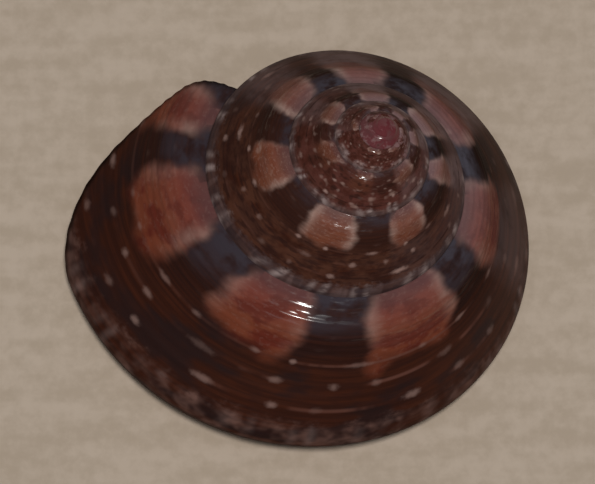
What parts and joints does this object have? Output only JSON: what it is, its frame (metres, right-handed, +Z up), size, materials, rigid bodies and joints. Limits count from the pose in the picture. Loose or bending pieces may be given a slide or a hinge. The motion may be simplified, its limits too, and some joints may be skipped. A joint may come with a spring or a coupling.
{
  "type": "top shell",
  "caption": "Low conical sea snail shell with stepped whorls, a slanting open mouth and a small hole in its base, lying mouth down.",
  "frame": {"origin": "centre of the shell's bounding box, on the surface it lies on", "axes": "+Z up from that surface, +X along the shell's greatest width, away from the outer lip"},
  "size_m": [0.0148, 0.0128, 0.0088],
  "materials": {
    "shell": "glossy dark red-brown with pink and white blotches, fine spiral cords and rows of pale dashes; pearly inside"
  },
  "bodies": {
    "root": {"shell": "shell"}
  },
  "joints": []
}
